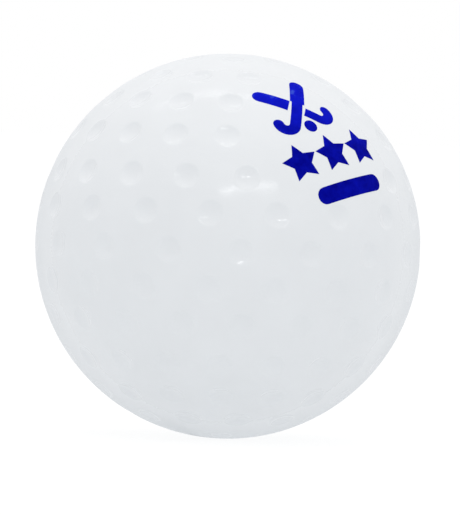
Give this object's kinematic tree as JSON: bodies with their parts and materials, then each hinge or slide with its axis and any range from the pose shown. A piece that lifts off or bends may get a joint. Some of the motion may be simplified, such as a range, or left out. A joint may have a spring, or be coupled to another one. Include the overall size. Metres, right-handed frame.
{
  "type": "field hockey ball",
  "caption": "Hard moulded ball for field hockey, round and closed, with shallow round dimples in level rows nearly all over its glossy white surface and a smooth field for the print.",
  "frame": {"origin": "centre of the ball", "axes": "+Z through the dimple on the upper pole, around which the dimple rows run level; -Y is the side that the picture shows, with the smooth field for the print up to its right, towards +X"},
  "size_m": [0.073, 0.073, 0.0728],
  "materials": {
    "moulded_white": "moulded gloss"
  },
  "bodies": {
    "root": {"ball": "moulded_white"}
  },
  "joints": []
}
